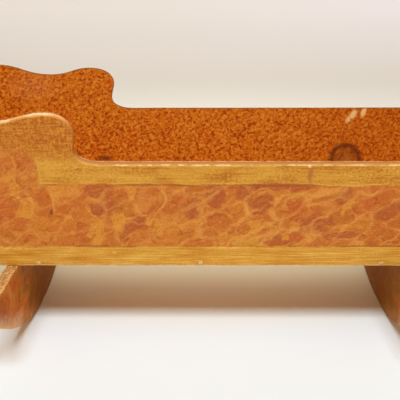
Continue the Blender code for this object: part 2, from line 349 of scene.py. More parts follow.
def wornBoard(name, node, outward, along, seed, zeroAtCorner=True, pitch=boardCut["faceGrid"], dents=(),
              arris=1):
    # Rebuilds one frame board with rubbed arrises, sawn edges and hand planed faces
    plane, thick, rims, corners = boardRims(node, outward, along, zeroAtCorner)
    steps = [inwardOf(rim, corners) for rim in rims]
    count = len(rims[0])
    runs = np.concatenate([[0], np.cumsum(np.linalg.norm(np.diff(rims[0], axis=0), axis=1))])
    wobble = np.array([lump(x, y, seed + 1.7, 0.028) for x, y in rims[0]]) * boardCut["sawWobble"]
    radii = [arrisRadius(runs, face, seed, arris) for face in (0, 1)]
    rings = []

    def ring(face, inset, depth, gap, slot):
        # One loop of points round the board, its gap to the arris in mm and the slot of the band after it
        share = (depth / thick)[:, None] if face == 0 else 1 - (depth / thick)[:, None]
        outline = rims[0] * (1 - share) + rims[1] * share
        points = outline + steps[face] * (inset + wobble)[:, None]
        rings.append((np.column_stack([points, depth if face == 0 else thick - depth]), gap, slot))

    def faceRings(face):
        # The loops of one face, from its innermost one out over the arris
        radius = radii[face]
        slot = (outerSlot, innerSlot)[face]
        made = []
        for extra in boardCut["faceInsets"]:
            inset = radius + extra
            sunk = faceDip(rims[face] + steps[face] * inset[:, None], face, seed, dents)
            made.append((inset, sunk, (radius / 2 + extra) / millimetre, slot))
        for quarter in range(5):
            turn = quarter * math.pi / 8
            sunk = faceDip(rims[face], face, seed, dents) * math.cos(turn) + radius * (1 - math.cos(turn))
            away = radius / 2 * abs(1 - quarter / 2) / millimetre
            made.append((radius * (1 - math.sin(turn)), sunk, away, slot if quarter < 2 else edgeSlot))
        return made

    for loop in faceRings(0):
        ring(0, *loop)
    for share in boardCut["edgeShares"]:
        depth = radii[0] * (1 - share) + (thick - radii[1]) * share
        saw = np.array([lump(run, deep * 3, seed + 31, 0.004) for run, deep in zip(runs, depth)])
        gap = (np.minimum(depth - radii[0], thick - radii[1] - depth) + boardCut["arris"] / 2) / millimetre
        ring(0, saw * boardCut["edgeDip"], depth, gap, edgeSlot)
    back = faceRings(1)
    slots = [innerSlot] + [loop[3] for loop in back[:-1]]
    for (inset, sunk, gap, _), slot in zip(back[::-1], slots[::-1]):
        ring(1, inset, sunk, gap, slot)

    points = np.vstack([entry[0] for entry in rings])
    gaps = np.concatenate([entry[1] for entry in rings])
    rubs = np.tile(np.clip(np.abs(steps[0][:, 1]), 0, 1) ** 1.5, len(rings))
    faces, slots = [], []
    for row in range(len(rings) - 1):
        for i in range(count):
            j = (i + 1) % count
            faces.append((row * count + i, row * count + j, (row + 1) * count + j, (row + 1) * count + i))
            slots.append(rings[row][2])
    for face, row in ((0, 0), (1, len(rings) - 1)):
        grid, triangles = faceFill(rings[row][0][:, :2], pitch, seed + face)
        sunk = faceDip(grid, face, seed, dents)
        base = len(points) - count
        points = np.vstack([points, np.column_stack([grid, sunk if face == 0 else thick - sunk])])
        away = np.minimum(rimGap(grid, rims[face]) / millimetre, boardCut["farGap"])
        gaps = np.concatenate([gaps, away])
        rubs = np.concatenate([rubs, np.ones(len(grid))])
        for triangle in triangles:
            faces.append(tuple(row * count + i if i < count else base + i for i in triangle))
            slots.append((outerSlot, innerSlot)[face])

    low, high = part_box(node)
    mesh = bpy.data.meshes.new(name)
    mesh.from_pydata(np.clip(plane.space(points), low, high).tolist(), [], faces)
    boardLayers(mesh, gaps, rubs, slots)
    turnOut(mesh)
    piece = linked(name, mesh)
    drillNails(piece, node)
    mesh = piece.data
    addLayer(mesh, "place", "FLOAT_VECTOR", plane.flat(readAll(mesh.vertices, "co", 3)) / millimetre)
    for _ in range(3):
        mesh.materials.append(None)
    slots = readAll(mesh.attributes["paintSlot"].data, "value", 1, np.int32)
    mesh.polygons.foreach_set("material_index", slots.ravel())
    mesh.shade_smooth()
    mesh.set_sharp_from_angle(angle=boardCut["sharpFrom"])
    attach(piece, "root")
    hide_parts(node)
    print("board:", name, len(mesh.polygons), "faces")
    return piece


# Nail holes: which nails pass through which board, and which way each kind was driven

boardNails = {
    "side_board_front": ("nail_front_",),
    "side_board_back": ("nail_back_",),
    "head_board": ("nail_front_head", "nail_back_head", "nail_head_floor"),
    "foot_board": ("nail_front_foot", "nail_back_foot", "nail_foot_floor"),
    "bottom_board": ("nail_front_floor", "nail_back_floor", "nail_head_floor", "nail_foot_floor",
                     "nail_rocker"),
    "rocker_head": ("nail_rocker_head",),
    "rocker_foot": ("nail_rocker_foot",),
}
nailWays = {"nail_rocker": (0, 0, -1), "nail_front": (0, 1, 0), "nail_back": (0, -1, 0),
            "nail_head": (1, 0, 0), "nail_foot": (-1, 0, 0)}
nailHole = {"room": 0.0003, "overrun": 0.002, "gap": 4}


def nailDrive(node):
    return next(Vector(way) for start, way in nailWays.items() if node.startswith(start))


def drillNails(piece, node):
    build = bmesh.new()
    for nail in sorted(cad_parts):
        if not nail.startswith(boardNails[node]):
            continue
        low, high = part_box(nail)
        middle, size = (low + high) / 2, high - low
        drive = nailDrive(nail)
        part = bmesh.new()
        part.from_mesh(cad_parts[nail].data)
        bmesh.ops.remove_doubles(part, verts=part.verts, dist=boardCut["mergeWithin"])
        for vert in part.verts:
            gone = vert.co - middle
            vert.co = middle + Vector([g * (s + 2 * nailHole["room"]) / s for g, s in zip(gone, size)])
        for vert in sorted(part.verts, key=lambda vert: vert.co.dot(drive))[:4]:
            vert.co -= drive * nailHole["overrun"]
        loose = bpy.data.meshes.new("oneHole")
        part.to_mesh(loose)
        part.free()
        build.from_mesh(loose)
        bpy.data.meshes.remove(loose)
    holes = bpy.data.meshes.new("nailHoles")
    build.to_mesh(holes)
    build.free()
    turnOut(holes)
    count = len(holes.vertices)
    boardLayers(holes, [nailHole["gap"]] * count, [0] * count, [edgeSlot] * len(holes.polygons))
    cutter = linked("nailHoles", holes)
    drill = piece.modifiers.new("nailHoles", "BOOLEAN")
    drill.operation = "DIFFERENCE"
    drill.solver = "EXACT"
    drill.object = cutter
    bakeMesh(piece)
    bpy.data.objects.remove(cutter, do_unlink=True)


# The seven wooden pieces: the frame's node, which way the face looks, along and the seed.
# Dents: along, up, reach, depth in metres and the face, 0 outer or 1 inner.

frontDents = ((-0.156, -0.055, 0.0035, 0.0008, 0), (-0.153, -0.043, 0.004, 0.0004, 0),
              (0.092, -0.004, 0.006, 0.0005, 0))
backDents = ((0.174, -0.065, 0.016, -0.0003, 1), (0.18, -0.01, 0.006, 0.0004, 1),
             (0.195, -0.007, 0.006, 0.0004, 1))
floorCut = {"zeroAtCorner": False, "pitch": 0.0065, "arris": 0.7}
rockerCut = {"zeroAtCorner": False, "pitch": 0.004, "arris": 1.2}
boardCuts = {
    "sideBoardFront": ("side_board_front", (0, -1, 0), (1, 0, 0), 3, {"dents": frontDents}),
    "sideBoardBack": ("side_board_back", (0, 1, 0), (1, 0, 0), 17, {"dents": backDents}),
    "headBoard": ("head_board", (-1, 0, 0), (0, 1, 0), 29, {}),
    "footBoard": ("foot_board", (1, 0, 0), (0, 1, 0), 41, {}),
    "bottomBoard": ("bottom_board", (0, 0, 1), (1, 0, 0), 53, floorCut),
    "rockerHead": ("rocker_head", (-1, 0, 0), (0, 1, 0), 67, rockerCut),
    "rockerFoot": ("rocker_foot", (1, 0, 0), (0, 1, 0), 79, rockerCut),
}
boards = {}
for name, (node, outward, along, seed, cut) in boardCuts.items():
    boards[name] = wornBoard(name, node, outward, along, seed, **cut)


# Paint. Colours are written as the 0 to 255 values that they show on screen.

def shade(red, green, blue):
    found = []
    for part in (red, green, blue):
        part /= 255
        found.append(part / 12.92 if part <= 0.04045 else ((part + 0.055) / 1.055) ** 2.4)
    return (*found, 1)


def shades(**tones):
    return {name: shade(*tone) for name, tone in tones.items()}


class Wire:
    # A node's output that can be reckoned with: each sum or product lays a node of its own
    def __init__(self, desk, socket):
        self.desk = desk
        self.socket = socket

    def __rsub__(self, other):
        return self.desk.math("SUBTRACT", other, self)

    def ramp(self, low, high, toLow=0, toHigh=1):
        # A smooth step from one value to another; low may lie above high
        if low > high:
            low, high, toLow, toHigh = high, low, toHigh, toLow
        sockets = {"Value": self, "From Min": low, "From Max": high, "To Min": toLow, "To Max": toHigh}
        return self.desk.wire("ShaderNodeMapRange", sockets, interpolation_type="SMOOTHSTEP", clamp=False)

    def stops(self, *places):
        # A colour ramp from positions and colours
        made = self.desk.node("ShaderNodeValToRGB", {0: self})
        band = made.color_ramp
        while len(band.elements) < len(places):
            band.elements.new(0.5)
        for element, (position, colour) in zip(band.elements, places):
            element.position = position
            element.color = colour
        return Wire(self.desk, made.outputs[0])

    def toward(self, tone, share):
        # This colour with a share of another laid over it
        return self.desk.mix(share, self, tone)


def reckoner(operation):
    return lambda wire, *others: wire.desk.math(operation, wire, *others)


for word, operation in {"__add__": "ADD", "__sub__": "SUBTRACT", "__mul__": "MULTIPLY",
                        "__truediv__": "DIVIDE", "__abs__": "ABSOLUTE", "most": "MAXIMUM",
                        "scaled": "MULTIPLY_ADD"}.items():
    setattr(Wire, word, reckoner(operation))


class PaintDesk:
    # Lays out one material's nodes. Places are in millimetres: along the board, up it and into it.
    def __init__(self, name, tree=None):
        self.tree = tree
        if tree:
            return
        self.material = bpy.data.materials.new(name)
        self.material.use_nodes = True
        self.tree = self.material.node_tree
        self.tree.nodes.clear()
        self.place = self.layer("place", "Vector")
        self.gap = self.layer("edgeGap")
        self.rubbing = self.layer("rubbing")
        self.along, self.up, self.depth = self.wires("ShaderNodeSeparateXYZ", {0: self.place})

    def node(self, kind, sockets=None, **settings):
        made = self.tree.nodes.new(kind)
        for key, value in settings.items():
            setattr(made, key, value)
        for socket, value in (sockets or {}).items():
            if isinstance(value, Wire):
                self.tree.links.new(value.socket, made.inputs[socket])
            else:
                made.inputs[socket].default_value = value
        return made

    def wires(self, kind, sockets=None, **settings):
        return [Wire(self, socket) for socket in self.node(kind, sockets, **settings).outputs]

    def wire(self, kind, sockets=None, output=0, **settings):
        return Wire(self, self.node(kind, sockets, **settings).outputs[output])

    def layer(self, name, output="Fac"):
        return self.wire("ShaderNodeAttribute", None, output, attribute_name=name)

    def given(self):
        return {wire.socket.name: wire for wire in self.wires("NodeGroupInput")}

    def math(self, operation, first, second=0, third=0):
        return self.wire("ShaderNodeMath", {0: first, 1: second, 2: third}, operation=operation)

    def vector(self, operation, first, second=(0, 0, 0)):
        output = "Value" if operation == "LENGTH" else "Vector"
        return self.wire("ShaderNodeVectorMath", {0: first, 1: second}, output, operation=operation)

    def seen(self, place, middle, size, turn):
        # The place measured from a middle, in units of a size and turned
        sockets = {"Vector": place, "Location": middle, "Rotation": (0, 0, math.radians(turn)), "Scale": size}
        return self.wire("ShaderNodeMapping", sockets, vector_type="TEXTURE")

    def moved(self, place, size, seed, turn=0):
        # Scales a place so that one unit is the given size in millimetres, and shifts it by a seed
        size = size if isinstance(size, tuple) else (size, size, size)
        shift = tuple(-seed * way * part for way, part in zip((3.7, 1.9, 5.3), size))
        return self.seen(place, shift, size, turn)

    def cloud(self, size, seed, detail=2, rough=0.5, bend=0, turn=0, place=None, output=0):
        sockets = {"Vector": self.moved(place or self.place, size, seed, turn), "Scale": 1, "Detail": detail,
                   "Roughness": rough, "Distortion": bend}
        return self.wire("ShaderNodeTexNoise", sockets, output)

    def mix(self, share, first, second):
        return self.wire("ShaderNodeMix", {0: share, 6: first, 7: second}, 2, data_type="RGBA")

    def warped(self, *steps):
        # Bends the place by noise: each step is a size and a reach in millimetres
        place = self.place
        for number, (size, reach) in enumerate(steps):
            push = self.vector("SUBTRACT", self.cloud(size, 41 + number * 3, 1, output=1), (0.5, 0.5, 0.5))
            place = self.vector("ADD", place, self.vector("MULTIPLY", push, (reach * 2, reach * 2, 0)))
        return place

    def finish(self, colour, roughness, height, bumpReach, specular=0.09, glow=None):
        bump = self.wire("ShaderNodeBump", {"Strength": 1, "Distance": bumpReach, "Height": height})
        shader = self.wire("ShaderNodeBsdfPrincipled", {
            "Base Color": colour, "Roughness": roughness, "Normal": bump, "Specular IOR Level": specular,
            **(glow or {})})
        self.node("ShaderNodeOutputMaterial", {0: shader})
        return self.material


def rubbedEdge(desk, colour, bare, reach, seed, cover):
    # Wear along the arrises: bare wood within a ragged distance of the edge
    limit = desk.cloud(7, seed, 3, 0.6).ramp(0.32, 0.68, reach * 0.15, reach)
    worn = (desk.gap / limit).ramp(1.15, 0.55, 0, cover) * desk.rubbing.ramp(0.2, 0.95, 0.3, 1)
    return colour.toward(bare, worn), worn


def layMarks(desk, colour, marks):
    # Chips, scratches and knots: along, up, half width, half height, turn, colour, strength, hardness.
    # A hardness below zero makes a ring of that width.
    soft = desk.warped((12, 1.1), (3.4, 0.9))
    for x, up, wide, tall, turn, tone, strength, hardness in marks:
        away = desk.vector("LENGTH", desk.seen(soft, (x, up, 0), (wide, tall, 1000), turn))
        if hardness < 0:
            share = abs(away - 1).ramp(-hardness, 0, 0, strength)
        else:
            share = away.ramp(1.15, hardness, 0, strength)
        colour = colour.toward(tone, share)
    return colour


# Outer paint: ochre bands streaked along the board round a panel of rust and amber dabs

paintTones = shades(rust=(194, 100, 35), red=(193, 93, 35), plum=(178, 86, 40), brown=(188, 104, 34),
                    salmon=(203, 112, 38), orange=(208, 123, 38), yellow=(216, 140, 46), ochre=(204, 140, 42))
outerLayout = {"topBorder": -22, "bottomBorder": -99, "borderSway": 2.2, "endBand": 24,
               "blockCentre": (-230, -20, 0), "blockHalf": (67, 36), "blockRound": 15,
               "sagFrom": (94, 116), "sagTo": (168, 142), "sag": 2.6}
outerPaint = shades(bandDark=(184, 106, 30), bandMid=(205, 138, 44), bandLight=(226, 164, 70),
                    lowDark=(196, 120, 30), lowMid=(216, 151, 52), lowLight=(236, 182, 86),
                    earTone=(176, 88, 20), earLight=(206, 130, 40), bandGreen=(205, 143, 38),
                    line=(146, 70, 22), dabLine=(162, 60, 22), vein=(226, 154, 70),
                    bare=(246, 208, 150), speckLight=(242, 206, 140), speckDark=(116, 60, 30))

# Dabs of the panel: along, height from the rim, half width, half height, turn, tone, strength
frontDabs = (
    (-190, -24, 5, 19, 4, "yellow", 0.7), (-172, 5, 9, 11, 0, "rust", 0.85),
    (-178, -12, 6, 14, 0, "rust", 0.6), (-177, -30, 9, 8, 0, "rust", 0.8),
    (-162, -45, 8, 15, -4, "rust", 0.95), (-198, -51, 12, 12, 0, "red", 0.9),
    (-180, -53, 8, 8, 0, "yellow", 0.8), (-187, -71, 12, 7, 15, "rust", 0.9),
    (-168, -68, 7, 8, 0, "orange", 0.7), (-151, -70, 12, 9, 0, "salmon", 0.8),
    (-178, -93, 9, 6, -15, "red", 0.8), (-199, -91, 13, 6, 5, "brown", 0.6),
    (-148, -90, 12, 8, 0, "salmon", 0.8), (-126, -81, 8, 11, 0, "red", 0.95),
    (-116, -83, 6, 13, 0, "yellow", 0.85), (-103, -70, 4.5, 17, 9, "rust", 0.95),
    (-107, -30, 12, 8, 0, "plum", 0.7), (-101, -49, 13, 9, 5, "plum", 1),
    (-91, -67, 7, 11, 0, "yellow", 0.9), (-85, -47, 7, 13, 10, "brown", 0.6),
    (-91, -31, 11, 8, 0, "rust", 0.85), (-75, -31, 4, 9, 0, "yellow", 0.7),
    (-60, -38, 10, 14, -10, "rust", 0.9), (-64, -45, 6, 8, 0, "red", 0.6),
    (-78, -72, 15, 6, 48, "plum", 0.95), (-92, -88, 9, 10, -20, "brown", 0.8),
    (-57, -72, 9, 10, 0, "yellow", 0.7), (-62, -81, 6, 8, 20, "rust", 0.85),
    (-43, -84, 13, 11, 0, "orange", 0.7), (-41, -68, 8, 8, 0, "salmon", 0.7),
    (-30, -40, 7, 7, 0, "red", 0.8), (-37, -52, 9, 9, 0, "rust", 0.7), (-17, -50, 8, 10, 0, "plum", 1),
    (-12, -30, 11, 6, 0, "brown", 0.8), (4, -36, 9, 12, 0, "plum", 0.95), (-9, -54, 5, 7, 0, "rust", 0.5),
    (-12, -66, 8, 4, 35, "orange", 0.6), (-20, -86, 9, 7, 0, "brown", 0.5),
    (-1, -84, 8, 7, 0, "rust", 0.85), (13, -84, 4, 6, 0, "yellow", 0.8), (9, -68, 9, 9, 0, "rust", 0.75),
    (22, -47, 8, 9, 0, "orange", 0.6), (33, -33, 7, 9, 0, "plum", 0.9), (49, -46, 13, 9, 35, "plum", 0.95),
    (59, -33, 3, 8, 40, "yellow", 0.6), (33, -74, 6, 8, 0, "rust", 0.7), (55, -66, 5, 5, 0, "red", 0.7),
    (69, -68, 9, 11, 0, "rust", 0.85), (36, -93, 12, 5, 0, "ochre", 0.8), (64, -90, 12, 6, 0, "plum", 0.8),
    (55, -83, 6, 4, 0, "salmon", 0.7), (84, -50, 9, 12, 0, "red", 0.95), (85, -24, 14, 4, 0, "plum", 0.9),
    (80, -33, 10, 3, 0, "ochre", 0.5), (113, -48, 12, 12, 0, "rust", 0.95),
    (127, -34, 6, 9, 0, "plum", 0.85), (134, -45, 3, 14, -30, "yellow", 0.8),
    (149, -46, 10, 12, 0, "red", 0.9), (172, -53, 11, 9, 0, "plum", 0.9), (168, -36, 10, 7, 0, "rust", 0.6),
    (104, -69, 14, 10, 15, "plum", 0.95), (129, -64, 10, 6, 0, "brown", 0.6),
    (148, -66, 9, 6, 0, "orange", 0.5), (132, -73, 18, 3, 0, "yellow", 0.7),
    (133, -86, 17, 5, 0, "plum", 0.85), (87, -85, 8, 8, 0, "red", 0.85), (75, -87, 3, 4, 0, "yellow", 0.8),
    (167, -76, 6, 7, 0, "rust", 0.7), (155, -84, 10, 6, 0, "salmon", 0.7), (182, -86, 9, 7, 0, "rust", 0.8),
    (190, -94, 6, 4, 0, "red", 0.8), (38, -24, 17, 3, 0, "plum", 0.8), (62, -24.5, 15, 3.2, 0, "plum", 0.8),
    (50, -71, 16, 3, -14, "yellow", 0.9), (36, -88, 14, 6, 0, "yellow", 0.75),
    (-46, -76, 15, 10, 0, "orange", 0.6),
)
frontMarks = (
    (60, -22.6, 42, 3, 0, shade(166, 80, 42), 0.8, 0.3),
    (-62, -22.5, 34, 1, 0, outerPaint["line"], 0.5, 0.3),
    (93.2, -11.5, 3.3, 14, 4, shade(182, 102, 50), 0.85, 0.2),
    (91.4, -1.2, 1.9, 1.9, -30, shade(250, 218, 150), 0.8, 0.5),
    (-156, -55, 1.8, 4.5, 0, shade(116, 58, 28), 0.8, 0.4),
    (-153, -43, 1.2, 12, 0, outerPaint["vein"], 0.6, 0.4),
    (-12, -118, 6, 1.4, 0, shade(246, 222, 160), 0.4, 0.2),
    (-98, -107, 3, 1.6, 0, shade(236, 196, 120), 0.5, 0.3),
)


def scatterDabs(low, high, seed):
    # Dabs for the stretches that no view of the real board shows, in the same manner
    draw = random.Random(seed)
    found = []
    for x in range(low, high, 24):
        for up in (-35, -60, -85):
            tone = draw.choice(("rust", "rust", "red", "plum", "brown", "yellow", "salmon", "orange"))
            found.append((round(x + draw.uniform(-7, 7)), up + round(draw.uniform(-5, 5)),
                          round(draw.uniform(6, 12)), round(draw.uniform(6, 11)),
                          round(draw.uniform(-40, 40)), tone, draw.uniform(0.6, 0.95)))
    return tuple(found)


def addSockets(tree, side, **sockets):
    for name, kind in sockets.items():
        tree.interface.new_socket(name.replace("_", " "), in_out=side, socket_type="NodeSocket" + kind)


dabShape = {"core": (1.4, 0.85), "vein": (1.4, 0.26), "line": (1.12, 0.15), "drag": (0.35, -0.25, 0)}


def dabGroup():
    # Adds one dab to the masks of its tone, of the light vein that its rim pushes up and of the dark
    # line within that, and passes on the place of later dabs, since each drags the wet glaze a little
    tree = bpy.data.node_groups.new("putty dab", "ShaderNodeTree")
    passed = {"Core": "Float", "Vein": "Float", "Line": "Float", "Place": "Vector"}
    addSockets(tree, "INPUT", **passed, Middle="Vector", Reach="Vector", Turn="Vector", Strength="Float")
    addSockets(tree, "OUTPUT", **passed)
    desk = PaintDesk("putty dab", tree)
    given = desk.given()
    away = desk.vector("LENGTH", desk.wire("ShaderNodeMapping", {
        "Vector": given["Place"], "Location": given["Middle"], "Rotation": given["Turn"],
        "Scale": given["Reach"]}, vector_type="TEXTURE"))
    veinAt, veinHalf = dabShape["vein"]
    lineAt, lineHalf = dabShape["line"]
    core = away.ramp(*dabShape["core"]) * given["Strength"]
    vein = abs(away - veinAt).ramp(veinHalf, 0) * given["Strength"]
    line = abs(away - lineAt).ramp(lineHalf, 0.02)
    pushed = desk.wire("ShaderNodeVectorMath", {0: core, 1: dabShape["drag"], 2: given["Place"]},
                       operation="MULTIPLY_ADD")
    desk.node("NodeGroupOutput", {"Core": given["Core"].most(core), "Vein": given["Vein"].most(vein),
                                  "Line": given["Line"].most(line), "Place": pushed})
    return tree


def layDabs(desk, colour, dabs, place):
    cores, vein, line = {}, 0, 0
    for x, up, wide, tall, turn, tone, strength in dabs:
        sockets = {"Core": cores.get(tone, 0), "Vein": vein, "Line": line, "Place": place,
                   "Middle": (x, up, 0), "Reach": (wide, tall, 1000), "Turn": (0, 0, math.radians(turn)),
                   "Strength": strength}
        cores[tone], vein, line, place = desk.wires("ShaderNodeGroup", sockets, node_tree=puttyDab)
    broken = desk.cloud((11, 8, 9), 61, place=place).ramp(0.36, 0.62, 0.05, 0.6)
    colour = colour.toward(outerPaint["vein"], vein * broken)
    brush = desk.cloud((9, 4, 9), 63, 3, 0.6, 0.8, 24, place).ramp(0.32, 0.56, 0.6, 1)
    for tone in paintTones:
        if tone in cores:
            colour = colour.toward(paintTones[tone], cores[tone] * brush)
    broken = desk.cloud((13, 9, 9), 67, place=place).ramp(0.44, 0.62, 0, 0.55)
    return colour.toward(outerPaint["dabLine"], line * broken)


def borderField(desk, ends):
    # Millimetres outside the painted panel, negative within it
    along, up = desk.along, desk.up
    reach = outerLayout["borderSway"]
    sway = desk.cloud((26, 300, 300), 5, 3, 0.6).scaled(reach * 2, -reach)
    sag = along.ramp(*outerLayout["sagFrom"]) * along.ramp(*outerLayout["sagTo"], 0.4, 1)
    top = up + sag.scaled(outerLayout["sag"], sway) - outerLayout["topBorder"]
    corner = outerLayout["blockRound"]
    halfX, halfUp = outerLayout["blockHalf"]
    local = desk.vector("ABSOLUTE", desk.vector("SUBTRACT", desk.place, outerLayout["blockCentre"]))
    local = desk.vector("SUBTRACT", local, (halfX - corner, halfUp - corner, 1e4))
    block = desk.vector("LENGTH", desk.vector("MAXIMUM", local)) - corner
    field = desk.math("MINIMUM", top, block)
    for edge in (outerLayout["bottomBorder"] - (up + sway), *ends):
        field = field.most(edge)
    return field


def outerGrain(name, dabs, seed, ends, marks=()):
    # The ends are the board's own at height zero, and how far they run out per height
    desk = PaintDesk(name)
    along, up, tones = desk.along, desk.up, outerPaint
    bent = desk.warped((26, 5), (11, 4.6), (4.2, 1.2))
    low, high, lean = ends
    field = borderField(desk, (along - up * lean - (high - outerLayout["endBand"]),
                               low + outerLayout["endBand"] - (along + up * lean)))

    # Bands, combed along the board, with grainy patches
    comb = desk.cloud((52, 1.3, 8), seed + 1, 4, 0.62)
    drift = desk.cloud((34, 12, 20), seed + 2, 3, 0.55)
    grain = desk.cloud((2.6, 2.2, 12), seed + 4, 3, 0.65)
    combed = desk.cloud((46, 26, 30), seed + 3, 1).ramp(0.42, 0.6, 0.3, 0.75)
    streak = desk.wire("ShaderNodeMix", {0: combed, 2: grain, 3: comb}) * 0.6 + drift * 0.4
    topBand = streak.stops((0.4, tones["bandDark"]), (0.5, tones["bandMid"]), (0.61, tones["bandLight"]))
    topBand = topBand.toward(tones["bandDark"], grain.ramp(0.5, 0.34) * along.ramp(88, 98, 0, 0.5))
    topBand = topBand.toward(tones["bandGreen"], drift.ramp(0.5, 0.64, 0, 0.35))
    streak = comb * 0.65 + drift * 0.35
    lowBand = streak.stops((0.36, tones["lowDark"]), (0.5, tones["lowMid"]), (0.63, tones["lowLight"]))
    upright = desk.cloud((1.9, 9, 12), seed + 5, 2, 0.6)
    level = desk.cloud((10, 1.7, 12), seed + 8, 2, 0.6)
    weave = upright + level + grain * 0.8
    ear = desk.mix(weave.ramp(1.22, 1.62), tones["earTone"], tones["earLight"])
    band = topBand.toward(lowBand, up.ramp(-60, -96)).toward(ear, up.ramp(0, 20, 0, 0.94))

    # Panel glaze: leaf shaped cells between soft light veins
    drifts = desk.cloud((30, 17, 20), seed + 6, 3, 0.5, 0.4, 30, bent) + along.ramp(-20, 40, 0, -0.09)
    panel = drifts.stops((0.36, paintTones["rust"]), (0.49, paintTones["salmon"]),
                         (0.6, paintTones["orange"]), (0.72, paintTones["yellow"]))
    leafPlace = desk.moved(bent, (46, 20, 1000), seed + 7, 34)
    leaves = desk.wire("ShaderNodeTexVoronoi", {"Vector": leafPlace, "Scale": 1, "Randomness": 0.9},
                       "Distance", feature="DISTANCE_TO_EDGE")
    panel = panel.toward(paintTones["rust"], leaves.ramp(0.06, 0.24, 0, 0.5))
    panel = layDabs(desk, panel, dabs, bent)
    leafVein = leaves.ramp(0.12, 0) * drifts.ramp(0.3, 0.48, 0.15, 0.6) * along.ramp(-60, 30, 0.6, 1)
    panel = panel.toward(tones["vein"], leafVein)
    fibre = desk.cloud((7.5, 2.2, 9), seed + 9, 3, 0.6, 0.9, 32, bent)
    panel = panel.toward(tones["vein"], fibre.ramp(0.53, 0.7, 0, 0.38))
    panel = panel.toward(paintTones["plum"], fibre.ramp(0.48, 0.3, 0, 0.48))

    # The border between them, with a broken dark line and a light one outside it
    ragged = along.ramp(94, 112, 0, 5) * up.ramp(-60, -40)
    feather = (desk.cloud((5, 4, 6), seed + 11) - 0.5) * (ragged + along.ramp(-140, -165, 3, 5))
    soft = along.ramp(-150, -172, 1, 0.2)
    colour = panel.toward(band, (field * soft + feather).ramp(-1.3, 1.3))
    cover = desk.cloud(30, seed + 12).ramp(0.38, 0.62, 0.05, 0.75) * abs(field + 0.3).ramp(1.3, 0.2)
    cover = cover * up.ramp(-16, -20, 0.25, 1) * soft.ramp(0.3, 0.9) * ragged.ramp(5, 0, 0.3, 1)
    colour = colour.toward(tones["line"], cover)
    cover = desk.cloud(24, seed + 13).ramp(0.4, 0.6, 0.1, 0.7) * abs(field - 1.8).ramp(1, 0.2)
    colour = colour.toward(tones["bandLight"], cover * soft)

    # Fine broken colour over everything
    speck = desk.cloud(2.1, seed + 15, 3, 0.7)
    colour = colour.toward(tones["speckLight"], speck.ramp(0.52, 0.78, 0, 0.22))
    colour = colour.toward(tones["speckDark"], speck.ramp(0.48, 0.24, 0, 0.3))
    colour = layMarks(desk, colour, marks)
    colour, worn = rubbedEdge(desk, colour, tones["bare"], 1, seed + 18, up.ramp(-60, -100, 0.12, 1))
    sheen = desk.cloud((14, 7, 10), seed + 20, 3).ramp(0.3, 0.7, 0.4, 0.54)
    return desk.finish(colour, sheen, comb * 0.5 + speck * 0.5 - worn * 0.35, 0.00035)


# Inner paint: rust orange with short dark squiggles

innerPaint = shades(ground=(190, 94, 4), light=(207, 125, 33), warm=(188, 80, 0), dark=(147, 56, 0),
                    deep=(92, 36, 6), edgeTone=(130, 84, 36), bare=(236, 192, 124))


def innerSquiggle(name, seed, marks=(), edgeTone="edgeTone"):
    desk = PaintDesk(name)
    tones = innerPaint
    bent = desk.warped((9, 2.6), (3.4, 0.6))
    patch = desk.cloud((38, 30, 30), seed + 2)
    colour = desk.mix(patch.ramp(0.35, 0.65, 0, 0.45), tones["ground"], tones["warm"])
    worm = desk.cloud((4, 3.4, 4), seed + 1, 2, 0.55, 0.7, 20, bent)
    worm = worm + desk.cloud((24, 20, 20), seed + 3, 1).scaled(0.12, -0.06)
    colour = colour.toward(tones["light"], worm.ramp(0.5, 0.65, 0, 0.95))
    colour = colour.toward(tones["dark"], worm.ramp(0.475, 0.375))
    colour = colour.toward(tones["dark"], desk.along.ramp(60, 200, 0, 0.22))
    colour = layMarks(desk, colour, marks)
    colour, worn = rubbedEdge(desk, colour, tones[edgeTone], 1.6, seed + 18, 0.9)
    sheen = desk.cloud((14, 7, 10), seed + 20, 3).ramp(0.3, 0.7, 0.42, 0.56)
    return desk.finish(colour, sheen, worm * 0.6 - worn * 0.3, 0.0003, 0.05)


# Sawn edges: paint rubbed down to pale wood, with the thickness showing as three lines

edgePaint = shades(rim=(186, 124, 60), ear=(222, 160, 94), steep=(200, 124, 52), far=(174, 108, 56),
                   earFar=(158, 90, 38), farLine=(228, 170, 116), cream=(230, 180, 110),
                   bright=(244, 202, 148), brown=(120, 70, 28), lip=(194, 116, 48))


